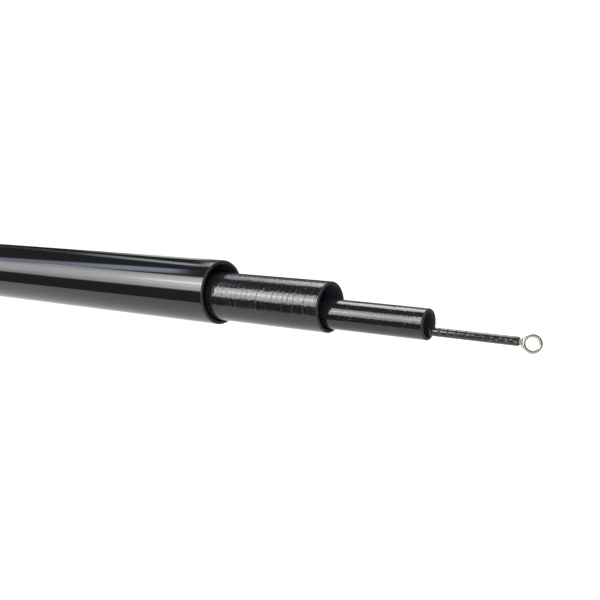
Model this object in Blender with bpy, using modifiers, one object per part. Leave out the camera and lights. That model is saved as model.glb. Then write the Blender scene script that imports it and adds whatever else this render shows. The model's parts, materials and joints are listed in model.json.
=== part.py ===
# Four section telescopic pole rod, pushed together for transport.
# Metres, +Z up. The rod's axis is X, the tip points to +X, and the origin is the
# centre of the flat rear face of the rubber button, on the cap that closes the butt.

import math

import bmesh
import bpy
from mathutils import Euler, Matrix, Vector

MM = 0.001

# Clearances.
SEAT_GAP = 0.3 * MM            # between two pieces that touch on the real rod
THREAD_CLEARANCE = 0.3 * MM    # around the cap's spigot in the threaded collar
PASS_CLEARANCE = 0.3 * MM      # around section 2 where it is drawn out through the collar
TAPER_CLEARANCE = 0.08 * MM    # around a section's rear end, seated in the mouth ahead of it
GLUE_CLEARANCE = 0.05 * MM     # around the small glued and brazed pieces at the tip

# Butt section.
BUTT_TUBE_LENGTH = 997.6 * MM
BUTT_MOUTH_RADIUS = 10.0 * MM
BUTT_WALL = 1.0 * MM
BUTT_TAPER = 0.00165           # radius gained per unit of length, towards the cap

# Section 2, which slides out of the butt.
SECTION_2_MOUTH_RADIUS = 7.37 * MM
SECTION_2_WALL = 0.93 * MM
SECTION_2_REACH = 39.7 * MM    # its mouth stands this far ahead of the butt's mouth
SECTION_2_OVERLAP = 70.0 * MM  # what stays in the butt when it is drawn out
SECTION_2_LIE = 0.40 * MM      # gap under it as it lies in the butt's bore

# Section 3, which slides out of section 2.
SECTION_3_MOUTH_RADIUS = 4.23 * MM
SECTION_3_WALL = 0.93 * MM
SECTION_3_REACH = 30.3 * MM
SECTION_3_OVERLAP = 60.0 * MM
SECTION_3_LIE = 0.30 * MM

# Tip section, which slides out of section 3.
TIP_END_RADIUS = 0.82 * MM
TIP_END_WALL = 0.25 * MM
TIP_REAR_WALL = 0.70 * MM
TIP_REACH = 24.45 * MM
TIP_OVERLAP = 45.0 * MM
TIP_LIE = 0.38 * MM

# Ground bevel and eased bore at each mouth, and the eased rear ends.
MOUTH_BEVEL_LENGTH = 0.9 * MM
MOUTH_BEVEL_DEPTH = 0.14 * MM
BORE_EASE = 0.2 * MM
REAR_EASE = 0.3 * MM

# Varnished thread whipping round the front of the tip.
WHIPPING_WALL = 0.19 * MM      # thread and varnish at the whipping's rear end
WHIPPING_LENGTH = 34.0 * MM
WHIPPING_LIP = 1.0 * MM        # it runs on past the end of the tube, round the ring's neck
WHIPPING_EASE = 0.22 * MM

# Tip ring, and the wire frame that holds it.
RING_CENTRE_RADIUS = 2.03 * MM
RING_WIRE_RADIUS = 0.37 * MM
RING_STANDOFF = 2.81 * MM      # from the end of the whipping to the ring's centre
ARM_WIRE_RADIUS = 0.29 * MM
STEM_CHAMFER = 0.15 * MM
STEM_LENGTH = 7.0 * MM
WEB_THICKNESS = 0.30 * MM
WEB_START = 0.25 * MM          # the web begins this far behind the end of the whipping
RING_INCLINE = math.radians(17.0)   # the ring's plane from the rod's axis
RING_ROLL = math.radians(78.25)     # which way round the tip the ring faces, from +Z to -Y
RING_LEAN = math.radians(-4.5)      # slight bend of the ring in its own plane

# Screwed butt cap with its rubber button, and the threaded collar glued in the butt.
BUTTON_THICKNESS = 2.2 * MM
BUTTON_PROUD = 1.2 * MM        # the button stands this far out of the cap
BUTTON_EDGE = 0.7 * MM
BUTTON_STEM_RADIUS = 3.0 * MM
BUTTON_STEM_LENGTH = 3.5 * MM
CAP_RIM = 3.6 * MM             # metal left round the button
CAP_GRIP_LENGTH = 13.0 * MM
CAP_STEP = 0.4 * MM            # the grip stands this much outside the collar
CAP_CHAMFER = 0.7 * MM
CAP_GAP = 0.4 * MM             # between the grip and the collar when it is screwed home
SPIGOT_WALL = 2.4 * MM
SPIGOT_BORE_DEPTH = 11.5 * MM
FLUTE_COUNT = 24
FLUTE_RADIUS = 1.1 * MM
FLUTE_DEPTH = 0.55 * MM
FLUTE_LAND = 1.7 * MM          # plain band left at each end of the flutes
COLLAR_STEP = 0.55 * MM        # the flange stands this much outside the butt tube
COLLAR_FLANGE_LENGTH = 3.5 * MM
COLLAR_SLEEVE_LENGTH = 13.0 * MM
COLLAR_EDGE = 0.35 * MM
O_RING_RADIUS = 0.75 * MM      # of its round cross-section
SPIGOT_SHORT = 2.1 * MM        # the spigot ends this far short of the sleeve's front end
PAD_AHEAD = 2.2 * MM           # the pad's face stands this far ahead of the sleeve
PAD_PLUG_LENGTH = 8.0 * MM

WELD_DISTANCE = 0.001 * MM     # points closer than this become one
SHARP_ANGLE = math.radians(28.0)    # edges sharper than this are shaded as edges
EMPTY_SIZE = 20.0 * MM

# Facets round each kind of piece.
TUBE_STEPS = 64
CAP_STEPS = 96
TIP_STEPS = 32
WIRE_STEPS = 16
RING_STEPS = 40

PART = "pole_rod"


def clear_scene():
    for item in list(bpy.data.objects):
        bpy.data.objects.remove(item)


def collection(name):
    group = bpy.data.collections.new(name)
    bpy.context.scene.collection.children.link(group)
    return group


def material(name, colour, roughness, metallic=0.0):
    made = bpy.data.materials.new(name)
    made.use_nodes = True
    made.diffuse_color = (*colour, 1.0)
    shader = made.node_tree.nodes["Principled BSDF"]
    shader.inputs["Base Color"].default_value = (*colour, 1.0)
    shader.inputs["Roughness"].default_value = roughness
    shader.inputs["Metallic"].default_value = metallic
    return made


def place(item, group):
    for owner in list(item.users_collection):
        owner.objects.unlink(item)
    group.objects.link(item)


def body_empty(name, origin, tilt=0.0):
    """An empty whose local Z runs along the rod: the frame of one moving body."""
    empty = bpy.data.objects.new(name, None)
    empty.empty_display_size = EMPTY_SIZE
    empty.location = origin
    empty.rotation_euler = (0.0, math.pi / 2 + tilt, 0.0)
    bpy.context.scene.collection.objects.link(empty)
    return empty


def turned(name, outline, steps):
    """Turn an outline of (radius, height) points round local Z.

    The outline runs down the outer side from top to bottom, then back up the bore.
    """
    on_axis = outline[0][0] == 0.0 and outline[-1][0] == 0.0
    points = [(radius, 0.0, height) for radius, height in outline]
    edges = [(i, i + 1) for i in range(len(points) - 1)]
    if not on_axis:
        edges.append((len(points) - 1, 0))
    mesh = bpy.data.meshes.new(name)
    mesh.from_pydata(points, edges, [])
    item = bpy.data.objects.new(name, mesh)
    bpy.context.scene.collection.objects.link(item)
    screw = item.modifiers.new("turn", "SCREW")
    screw.axis = "Z"
    screw.angle = 2 * math.pi
    screw.steps = steps
    screw.render_steps = steps
    screw.use_merge_vertices = True
    screw.merge_threshold = WELD_DISTANCE
    return item


def settle(item):
    """Swap an object's modifiers for the mesh that they make, shaded smooth."""
    bpy.context.view_layer.update()
    seen = item.evaluated_get(bpy.context.evaluated_depsgraph_get())
    mesh = bpy.data.meshes.new_from_object(seen)
    item.modifiers.clear()
    item.data = mesh
    mesh.shade_smooth()
    mesh.set_sharp_from_angle(angle=SHARP_ANGLE)
    return item


def boolean(item, other, operation, group):
    step = item.modifiers.new(operation.lower(), "BOOLEAN")
    step.operation = operation
    step.solver = "EXACT"
    step.object = other
    place(other, group)
    other.hide_render = True
    other.display_type = "WIRE"


def solid_of(curve):
    """The closed mesh that a curve with thickness makes, as an object of the same name."""
    item = bpy.data.objects.new(curve.name, curve)
    bpy.context.scene.collection.objects.link(item)
    bpy.context.view_layer.update()
    seen = item.evaluated_get(bpy.context.evaluated_depsgraph_get())
    mesh = bpy.data.meshes.new_from_object(seen)
    bpy.data.objects.remove(item)
    welded = bmesh.new()
    welded.from_mesh(mesh)
    bmesh.ops.remove_doubles(welded, verts=welded.verts, dist=WELD_DISTANCE)
    welded.to_mesh(mesh)
    welded.free()
    solid = bpy.data.objects.new(curve.name, mesh)
    bpy.context.scene.collection.objects.link(solid)
    return solid


def line_of(curve, points):
    """A run of straight lines through points, added to a curve."""
    line = curve.splines.new("POLY")
    line.points.add(len(points) - 1)
    for point, where in zip(line.points, points):
        point.co = (*where, 1.0)
    return line


def wire(name, points, radius):
    """A round wire along straight runs."""
    curve = bpy.data.curves.new(name, "CURVE")
    curve.dimensions = "3D"
    curve.bevel_depth = radius
    curve.bevel_resolution = WIRE_STEPS // 4 - 1
    curve.use_fill_caps = True
    line_of(curve, points)
    return solid_of(curve)


def plate(name, outline, thickness):
    """A flat plate in local XY, centred on the plane."""
    curve = bpy.data.curves.new(name, "CURVE")
    curve.dimensions = "2D"
    curve.fill_mode = "BOTH"
    curve.extrude = thickness / 2
    line_of(curve, outline).use_cyclic_u = True
    return solid_of(curve)


def finish(item, parent, finish_material, group):
    """Give a piece its parent, material and collection, keeping where it stands in its parent."""
    item.parent = parent
    item.data.materials.clear()
    item.data.materials.append(finish_material)
    place(item, group)


# Places along the rod, from the cap to the tip.
cap_rear = BUTTON_PROUD
cap_front = cap_rear + CAP_GRIP_LENGTH
collar_rear = cap_front + CAP_GAP
flange_front = collar_rear + COLLAR_FLANGE_LENGTH
sleeve_front = flange_front + COLLAR_SLEEVE_LENGTH
butt_rear = flange_front + SEAT_GAP
butt_mouth = butt_rear + BUTT_TUBE_LENGTH
spigot_front = sleeve_front - SPIGOT_SHORT
pad_rear = spigot_front + SEAT_GAP
pad_front = sleeve_front + PAD_AHEAD
sections_rear = pad_front + SEAT_GAP
section_2_mouth = butt_mouth + SECTION_2_REACH
section_3_mouth = section_2_mouth + SECTION_3_REACH
whipping_front = section_3_mouth + TIP_REACH
tip_front = whipping_front - WHIPPING_LIP


class Section:
    """A tapered tube: its rear and mouth stations, radii, wall and the heights of its axis."""

    def __init__(self, rear, mouth, rear_radius, mouth_radius, rear_wall, mouth_wall):
        self.rear = rear
        self.mouth = mouth
        self.rear_radius = rear_radius
        self.mouth_radius = mouth_radius
        self.rear_wall = rear_wall
        self.mouth_wall = mouth_wall
        self.rear_height = 0.0
        self.mouth_height = 0.0

    def share(self, x):
        return (x - self.rear) / (self.mouth - self.rear)

    def radius(self, x):
        return self.rear_radius + self.share(x) * (self.mouth_radius - self.rear_radius)

    def bore(self, x):
        wall = self.rear_wall + self.share(x) * (self.mouth_wall - self.rear_wall)
        return self.radius(x) - wall

    def height(self, x):
        return self.rear_height + self.share(x) * (self.mouth_height - self.rear_height)

    def lie_in(self, carrier, gap):
        """Lay the section along the bottom of its carrier's bore, with a gap under it."""
        rear_drop = carrier.bore(self.rear) - self.rear_radius - gap
        mouth = carrier.mouth
        mouth_drop = carrier.bore(mouth) - self.radius(mouth) - gap
        rear_height = carrier.height(self.rear) - rear_drop
        slope = (carrier.height(mouth) - mouth_drop - rear_height) / (mouth - self.rear)
        self.rear_height = rear_height
        self.mouth_height = rear_height + slope * (self.mouth - self.rear)

    def tilt(self):
        return math.atan2(self.rear_height - self.mouth_height, self.mouth - self.rear)

    def travel(self, carrier, overlap):
        """The way from lying in the carrier to seated, centred, in its mouth."""
        seat = carrier.mouth - overlap
        return Vector((seat - self.rear, 0.0, carrier.height(seat) - self.rear_height))


def seated_radius(carrier, overlap):
    return carrier.bore(carrier.mouth - overlap) - TAPER_CLEARANCE


butt = Section(butt_rear, butt_mouth, BUTT_MOUTH_RADIUS + BUTT_TAPER * BUTT_TUBE_LENGTH,
               BUTT_MOUTH_RADIUS, BUTT_WALL, BUTT_WALL)
section_2 = Section(sections_rear, section_2_mouth, seated_radius(butt, SECTION_2_OVERLAP),
                    SECTION_2_MOUTH_RADIUS, SECTION_2_WALL, SECTION_2_WALL)
section_2.lie_in(butt, SECTION_2_LIE)
section_3 = Section(sections_rear, section_3_mouth,
                    seated_radius(section_2, SECTION_3_OVERLAP),
                    SECTION_3_MOUTH_RADIUS, SECTION_3_WALL, SECTION_3_WALL)
section_3.lie_in(section_2, SECTION_3_LIE)
tip = Section(sections_rear, tip_front, seated_radius(section_3, TIP_OVERLAP),
              TIP_END_RADIUS, TIP_REAR_WALL, TIP_END_WALL)


whipping_bore = tip.radius(whipping_front - WHIPPING_LENGTH) + GLUE_CLEARANCE
whipping_radius = whipping_bore + WHIPPING_WALL


def lay_tip():
    """The tip lies on its whipping at the mouth ahead of it, and on its blank at the rear."""
    mouth = section_3.mouth
    rear_drop = section_3.bore(tip.rear) - tip.rear_radius - TIP_LIE
    mouth_drop = section_3.bore(mouth) - whipping_radius - TIP_LIE
    tip.rear_height = section_3.height(tip.rear) - rear_drop
    slope = (section_3.height(mouth) - mouth_drop - tip.rear_height) / (mouth - tip.rear)
    tip.mouth_height = tip.rear_height + slope * (tip.mouth - tip.rear)


lay_tip()

# Sizes of the butt fittings that follow from the tubes.
collar_bore = section_2.rear_radius + PASS_CLEARANCE
spigot_radius = collar_bore - THREAD_CLEARANCE
pad_radius = collar_bore - SEAT_GAP
flange_radius = butt.rear_radius + COLLAR_STEP
grip_radius = flange_radius + CAP_STEP
button_radius = grip_radius - CAP_RIM
o_ring_centre = spigot_radius + SEAT_GAP + O_RING_RADIUS


def tube_outline(section, start, bevel_length, bevel_depth):
    """Outline of a section's tube, with its rear end at local height start."""
    length = section.mouth - section.rear
    top = start + length
    bevel_radius = section.radius(section.mouth - bevel_length)
    mouth_bore = section.bore(section.mouth)
    return [
        (section.mouth_radius - bevel_depth, top),
        (bevel_radius, top - bevel_length),
        (section.rear_radius, start + REAR_EASE),
        (section.rear_radius - REAR_EASE, start),
        (section.bore(section.rear), start),
        (section.bore(section.mouth - BORE_EASE), top - BORE_EASE),
        (mouth_bore + BORE_EASE, top),
    ]


def make_butt_tube():
    outline = tube_outline(butt, butt.rear, MOUTH_BEVEL_LENGTH, MOUTH_BEVEL_DEPTH)
    return settle(turned("butt_tube", outline, TUBE_STEPS))


def make_section(name, section):
    outline = tube_outline(section, 0.0, MOUTH_BEVEL_LENGTH, MOUTH_BEVEL_DEPTH)
    return settle(turned(name, outline, TUBE_STEPS))


def make_tip_tube():
    """The tip's hollow blank, which runs to nearly nothing under the whipping."""
    length = tip.mouth - tip.rear
    outline = [
        (tip.mouth_radius, length),
        (tip.rear_radius, REAR_EASE),
        (tip.rear_radius - REAR_EASE, 0.0),
        (tip.bore(tip.rear), 0.0),
        (tip.bore(tip.mouth), length),
    ]
    return settle(turned("tip_tube", outline, TIP_STEPS))


def make_whipping():
    """Thread wound round the tip and varnished over, with rounded ends."""
    top = whipping_front - tip.rear
    bottom = top - WHIPPING_LENGTH
    tube_end = tip_front - tip.rear
    front_bore = TIP_END_RADIUS + GLUE_CLEARANCE
    bulge = WHIPPING_EASE * (1 - math.sqrt(0.5))
    outline = [
        (front_bore, top),
        (whipping_radius - bulge, top - bulge),
        (whipping_radius, top - WHIPPING_EASE),
        (whipping_radius, bottom + WHIPPING_EASE),
        (whipping_bore, bottom),
        (front_bore, tube_end),
    ]
    return settle(turned("tip_whipping", outline, TIP_STEPS))


def ring_frame_matrix():
    """Frame of the ring in the tip's own frame: X away from the stem, Z out of the ring's plane."""
    facing = Vector((0.0, 0.0, 1.0))
    facing.rotate(Euler((RING_ROLL, 0.0, 0.0)))
    along = Vector((1.0, 0.0, 0.0))
    normal = facing * math.cos(RING_INCLINE) + along * math.sin(RING_INCLINE)
    outward = along * math.cos(RING_INCLINE) - facing * math.sin(RING_INCLINE)
    side = normal.cross(outward)
    outward = outward * math.cos(RING_LEAN) + side * math.sin(RING_LEAN)
    side = normal.cross(outward)
    turned_axes = Matrix((outward, side, normal)).transposed().to_4x4()
    neck = Vector((whipping_front, 0.0, tip.height(whipping_front)))
    return Matrix.Translation(neck) @ turned_axes


def make_ring():
    bpy.ops.mesh.primitive_torus_add(
        major_radius=RING_CENTRE_RADIUS, minor_radius=RING_WIRE_RADIUS,
        major_segments=RING_STEPS, minor_segments=WIRE_STEPS)
    ring = bpy.context.object
    ring.name = "tip_ring"
    ring.data.name = "tip_ring"
    ring.matrix_world = ring_frame_matrix() @ Matrix.Translation((RING_STANDOFF, 0.0, 0.0))
    ring.data.shade_smooth()
    return ring


def make_ring_frame(cutters):
    """Stem glued in the tip, two arms laid tangent to the ring, and the brazed web between.

    The arms' outer sides meet the ring's outer side, so their spread follows from the
    two radii and the ring's distance. The front is coped to the ring, one gap away.
    """
    frame = ring_frame_matrix()
    ring_outer = RING_CENTRE_RADIUS + RING_WIRE_RADIUS
    # The arms' centre lines meet one wire thickness behind the end of the whipping.
    start = -2 * ARM_WIRE_RADIUS
    spread = math.asin((ring_outer - ARM_WIRE_RADIUS) / (RING_STANDOFF - start))
    reach = (RING_STANDOFF - start) * math.cos(spread) ** 2
    end = Vector((start + reach, reach * math.tan(spread), 0.0))
    neck = Vector((start, 0.0, 0.0))
    arms = []
    for sign in (1.0, -1.0):
        arm = wire(f"arm_{sign:+.0f}", [neck, Vector((end.x, sign * end.y, 0.0))], ARM_WIRE_RADIUS)
        arm.matrix_world = frame
        arms.append(arm)
    front = RING_STANDOFF - RING_CENTRE_RADIUS
    half = (front - start) * math.tan(spread)
    corners = [(-WEB_START, 0.0, 0.0), (front, -half, 0.0), (front, half, 0.0)]
    web = plate("web", corners, WEB_THICKNESS)
    web.matrix_world = frame
    stem_radius = TIP_END_RADIUS - TIP_END_WALL - GLUE_CLEARANCE
    height = tip.height(whipping_front)
    stem_front = whipping_front + start + ARM_WIRE_RADIUS
    stem = turned("tip_ring_frame", [
        (0.0, 0.0),
        (stem_radius - STEM_CHAMFER, 0.0),
        (stem_radius, -STEM_CHAMFER),
        (stem_radius, -STEM_LENGTH),
        (0.0, -STEM_LENGTH),
    ], WIRE_STEPS)
    stem.location = (stem_front, 0.0, height)
    stem.rotation_euler = (0.0, math.pi / 2 + tip.tilt(), 0.0)
    for piece in (*arms, web):
        boolean(stem, piece, "UNION", cutters)
    bpy.ops.mesh.primitive_torus_add(
        major_radius=RING_CENTRE_RADIUS, minor_radius=RING_WIRE_RADIUS + GLUE_CLEARANCE,
        major_segments=RING_STEPS, minor_segments=WIRE_STEPS)
    cope = bpy.context.object
    cope.name = "ring_cope"
    cope.matrix_world = frame @ Matrix.Translation((RING_STANDOFF, 0.0, 0.0))
    boolean(stem, cope, "DIFFERENCE", cutters)
    return settle(stem)


def make_collar():
    """Threaded bush glued in the butt, with a flange that trims the end of the tube."""
    sleeve_radius = butt.bore(sleeve_front) - SEAT_GAP
    o_ring_pocket = o_ring_centre + O_RING_RADIUS + SEAT_GAP
    pocket_floor = cap_front + 2 * SEAT_GAP + 2 * O_RING_RADIUS
    return settle(turned("thread_collar", [
        (sleeve_radius - COLLAR_EDGE, sleeve_front),
        (sleeve_radius, sleeve_front - COLLAR_EDGE),
        (sleeve_radius, flange_front),
        (flange_radius - COLLAR_EDGE, flange_front),
        (flange_radius, flange_front - COLLAR_EDGE),
        (flange_radius, collar_rear + COLLAR_EDGE),
        (flange_radius - COLLAR_EDGE, collar_rear),
        (o_ring_pocket, collar_rear),
        (o_ring_pocket, pocket_floor),
        (collar_bore, pocket_floor),
        (collar_bore, sleeve_front),
    ], CAP_STEPS))


def make_o_ring():
    bpy.ops.mesh.primitive_torus_add(
        major_radius=o_ring_centre, minor_radius=O_RING_RADIUS,
        major_segments=TUBE_STEPS, minor_segments=WIRE_STEPS // 2)
    ring = bpy.context.object
    ring.name = "cap_o_ring"
    ring.data.name = "cap_o_ring"
    ring.location = (0.0, 0.0, cap_front + SEAT_GAP + O_RING_RADIUS)
    ring.data.shade_smooth()
    return ring


def make_cap(cutters):
    """Fluted screw cap: recess for the button behind, hollow spigot for the thread ahead."""
    recess_radius = button_radius + SEAT_GAP
    recess_floor = BUTTON_THICKNESS + SEAT_GAP
    hole_radius = BUTTON_STEM_RADIUS + SEAT_GAP
    hole_end = BUTTON_THICKNESS + BUTTON_STEM_LENGTH + SEAT_GAP
    spigot_bore = spigot_radius - SPIGOT_WALL
    cap = turned("butt_cap", [
        (0.0, spigot_front - SPIGOT_BORE_DEPTH),
        (spigot_bore, spigot_front - SPIGOT_BORE_DEPTH),
        (spigot_bore, spigot_front),
        (spigot_radius - CAP_CHAMFER, spigot_front),
        (spigot_radius, spigot_front - CAP_CHAMFER),
        (spigot_radius, cap_front),
        (grip_radius - CAP_CHAMFER, cap_front),
        (grip_radius, cap_front - CAP_CHAMFER),
        (grip_radius, cap_rear + CAP_CHAMFER),
        (grip_radius - CAP_CHAMFER, cap_rear),
        (recess_radius, cap_rear),
        (recess_radius, recess_floor),
        (hole_radius, recess_floor),
        (hole_radius, hole_end),
        (0.0, hole_end),
    ], CAP_STEPS)
    flute_length = CAP_GRIP_LENGTH - 2 * FLUTE_LAND
    flute_middle = cap_rear + CAP_GRIP_LENGTH / 2
    flute_centre = grip_radius + FLUTE_RADIUS - FLUTE_DEPTH
    bundle = bmesh.new()
    for number in range(FLUTE_COUNT):
        angle = 2 * math.pi * number / FLUTE_COUNT
        where = Matrix.Rotation(angle, 4, "Z") @ Matrix.Translation((flute_centre, 0.0, flute_middle))
        bmesh.ops.create_cone(bundle, cap_ends=True, segments=WIRE_STEPS, radius1=FLUTE_RADIUS,
                              radius2=FLUTE_RADIUS, depth=flute_length, matrix=where)
    mesh = bpy.data.meshes.new("flute_cutters")
    bundle.to_mesh(mesh)
    bundle.free()
    flutes = bpy.data.objects.new("flute_cutters", mesh)
    boolean(cap, flutes, "DIFFERENCE", cutters)
    return settle(cap)


def make_button():
    """Rubber button that the rod stands on, held in the cap by its stem."""
    bulge = BUTTON_EDGE * (1 - math.sqrt(0.5))
    return settle(turned("cap_button", [
        (0.0, BUTTON_THICKNESS + BUTTON_STEM_LENGTH),
        (BUTTON_STEM_RADIUS, BUTTON_THICKNESS + BUTTON_STEM_LENGTH),
        (BUTTON_STEM_RADIUS, BUTTON_THICKNESS),
        (button_radius, BUTTON_THICKNESS),
        (button_radius, BUTTON_EDGE),
        (button_radius - bulge, bulge),
        (button_radius - BUTTON_EDGE, 0.0),
        (0.0, 0.0),
    ], TUBE_STEPS))


def make_pad():
    """Soft bung in the spigot that the pushed-in sections rest against."""
    plug_radius = spigot_radius - SPIGOT_WALL - SEAT_GAP
    return settle(turned("cap_pad", [
        (0.0, pad_front),
        (pad_radius - REAR_EASE, pad_front),
        (pad_radius, pad_front - REAR_EASE),
        (pad_radius, pad_rear),
        (plug_radius, pad_rear),
        (plug_radius, pad_rear - PAD_PLUG_LENGTH + REAR_EASE),
        (plug_radius - REAR_EASE, pad_rear - PAD_PLUG_LENGTH),
        (0.0, pad_rear - PAD_PLUG_LENGTH),
    ], TUBE_STEPS))


def keep_in_place(item, parent):
    """Parent an object that already stands in its world place."""
    item.parent = parent
    bpy.context.view_layer.update()
    item.matrix_parent_inverse = parent.matrix_world.inverted()


def main():
    clear_scene()
    parts = collection(PART)
    cutters = collection("cutters")

    lacquer = material("black_lacquer", (0.012, 0.012, 0.014), 0.08)
    carbon = material("ringed_carbon", (0.016, 0.016, 0.018), 0.24)
    fine_carbon = material("fine_carbon", (0.015, 0.015, 0.017), 0.2)
    tip_carbon = material("tip_carbon", (0.014, 0.014, 0.015), 0.22)
    thread = material("varnished_thread", (0.02, 0.02, 0.02), 0.15)
    ring_steel = material("polished_ring", (0.62, 0.62, 0.58), 0.12, 1.0)
    frame_steel = material("brazed_frame", (0.6, 0.6, 0.55), 0.25, 1.0)
    dark_aluminium = material("dark_aluminium", (0.05, 0.05, 0.055), 0.35, 1.0)
    collar_aluminium = material("collar_aluminium", (0.09, 0.09, 0.095), 0.3, 1.0)
    seal_rubber = material("seal_rubber", (0.015, 0.015, 0.015), 0.6)
    button_rubber = material("button_rubber", (0.02, 0.02, 0.02), 0.7)
    pad_foam = material("pad_foam", (0.05, 0.05, 0.055), 0.85)

    butt_frame = body_empty("butt_frame", (0.0, 0.0, 0.0))
    draw_frame = body_empty("cap_draw_frame", (0.0, 0.0, 0.0))
    turn_frame = body_empty("cap_turn_frame", (0.0, 0.0, 0.0))
    frames = {}
    for name, section in (("section_2", section_2), ("section_3", section_3), ("tip", tip)):
        origin = (section.rear, 0.0, section.rear_height)
        frames[name] = body_empty(f"{name}_frame", origin, section.tilt())
    bpy.context.view_layer.update()

    finish(make_butt_tube(), butt_frame, lacquer, parts)
    finish(make_collar(), butt_frame, collar_aluminium, parts)
    finish(make_pad(), draw_frame, pad_foam, parts)
    finish(make_cap(cutters), turn_frame, dark_aluminium, parts)
    finish(make_o_ring(), turn_frame, seal_rubber, parts)
    finish(make_button(), turn_frame, button_rubber, parts)
    finish(make_section("section_2_tube", section_2), frames["section_2"], carbon, parts)
    finish(make_section("section_3_tube", section_3), frames["section_3"], fine_carbon, parts)
    finish(make_tip_tube(), frames["tip"], tip_carbon, parts)
    finish(make_whipping(), frames["tip"], thread, parts)
    for item, steel in ((make_ring_frame(cutters), frame_steel), (make_ring(), ring_steel)):
        finish(item, None, steel, parts)
        keep_in_place(item, frames["tip"])

    for name, section, carrier, overlap in (
            ("section 2", section_2, butt, SECTION_2_OVERLAP),
            ("section 3", section_3, section_2, SECTION_3_OVERLAP),
            ("tip", tip, section_3, TIP_OVERLAP)):
        way = section.travel(carrier, overlap)
        axis = way.normalized()
        print(f"{name} slides {way.length:.5f} m along {axis.x:.8f} {axis.y:.8f} {axis.z:.8f}")


main()
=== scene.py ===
# Telescopic pole rod, pushed together: finishes, fine forms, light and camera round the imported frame.
# Metres. X runs along the rod from the butt to the tip, and Z is up.
import json
import math

import bmesh
import bpy
import numpy as np
from mathutils import Matrix, Vector


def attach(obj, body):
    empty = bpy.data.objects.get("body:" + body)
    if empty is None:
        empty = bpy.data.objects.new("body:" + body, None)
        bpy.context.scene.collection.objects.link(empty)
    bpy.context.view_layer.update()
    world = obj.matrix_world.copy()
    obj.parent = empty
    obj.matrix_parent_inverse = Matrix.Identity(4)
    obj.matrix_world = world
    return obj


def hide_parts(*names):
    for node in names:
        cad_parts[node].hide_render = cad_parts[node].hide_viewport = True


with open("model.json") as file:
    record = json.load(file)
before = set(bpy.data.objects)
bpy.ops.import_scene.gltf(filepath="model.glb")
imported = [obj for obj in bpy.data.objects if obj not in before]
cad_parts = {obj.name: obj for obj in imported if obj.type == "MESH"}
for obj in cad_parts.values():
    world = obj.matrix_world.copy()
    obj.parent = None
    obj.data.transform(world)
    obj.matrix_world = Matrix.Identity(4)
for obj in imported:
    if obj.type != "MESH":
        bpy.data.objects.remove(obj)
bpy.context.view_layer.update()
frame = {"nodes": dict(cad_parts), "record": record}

mm = 0.001
hair = 1e-7                # lengths that differ by less count as the same
sameStation = 0.05 * mm    # CAD corners this close along the rod belong to one station
print("frame loaded:", ", ".join(sorted(frame["nodes"])))


# Reading the frame.

rodLine = {"start": np.zeros(3), "axis": np.array([1.0, 0.0, 0.0])}


def cornersOf(node):
    # every different corner of a CAD node's mesh, as rows of x, y, z
    mesh = frame["nodes"][node].data
    flat = np.empty(len(mesh.vertices) * 3, dtype=np.float32)
    mesh.vertices.foreach_get("co", flat)
    return np.unique(flat.reshape(-1, 3).astype(float).round(7), axis=0)


def measureTurned(node):
    # a turned piece on a line of its own: that line, and the place along it and the radius of each corner
    corners = cornersOf(node)
    start, end = (corners[abs(corners[:, 0] - x) < sameStation].mean(axis=0)
                  for x in (corners[:, 0].min(), corners[:, 0].max()))
    length = np.linalg.norm(end - start)
    axis = (end - start) / length
    along = (corners - start) @ axis
    radius = np.linalg.norm(corners - start - along[:, None] * axis, axis=1)
    return {"start": start, "axis": axis, "end": end, "length": length, "along": along, "radius": radius}


def measureOnRod(node):
    # a piece turned round the rod's own line, in the same form, with its stations from the butt to the tip
    corners = cornersOf(node)
    return {**rodLine, "along": corners[:, 0], "radius": np.hypot(corners[:, 1], corners[:, 2]),
            "stations": np.unique(corners[:, 0].round(5))}


def measureRing(node):
    # a ring's centre and facing direction, and the radii of its centre line and of its wire
    corners = cornersOf(node)
    centre = corners.mean(axis=0)
    facing = np.linalg.svd(corners - centre, full_matrices=False)[2][2]
    height = (corners - centre) @ facing
    reach = np.linalg.norm(corners - centre - height[:, None] * facing, axis=1)
    return {"start": centre, "axis": facing, "ring": reach.max() - height.max(), "wire": height.max()}


def radiiAt(piece, station):
    # the smallest and largest radius of a measured piece at one station
    there = piece["radius"][abs(piece["along"] - station) < sameStation]
    return there.min(), there.max()


def outlineThrough(piece, stops):
    # a profile through the corners of a piece on the rod's line; each stop is the number of a station and
    # which point of it is meant
    points = []
    for number, place in stops:
        station = piece["stations"][number]
        inner, outer = radiiAt(piece, station)
        points.append((station, {"centre": 0.0, "inner": inner, "outer": outer}[place]))
    return np.array(points)


# Surfaces.

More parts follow.
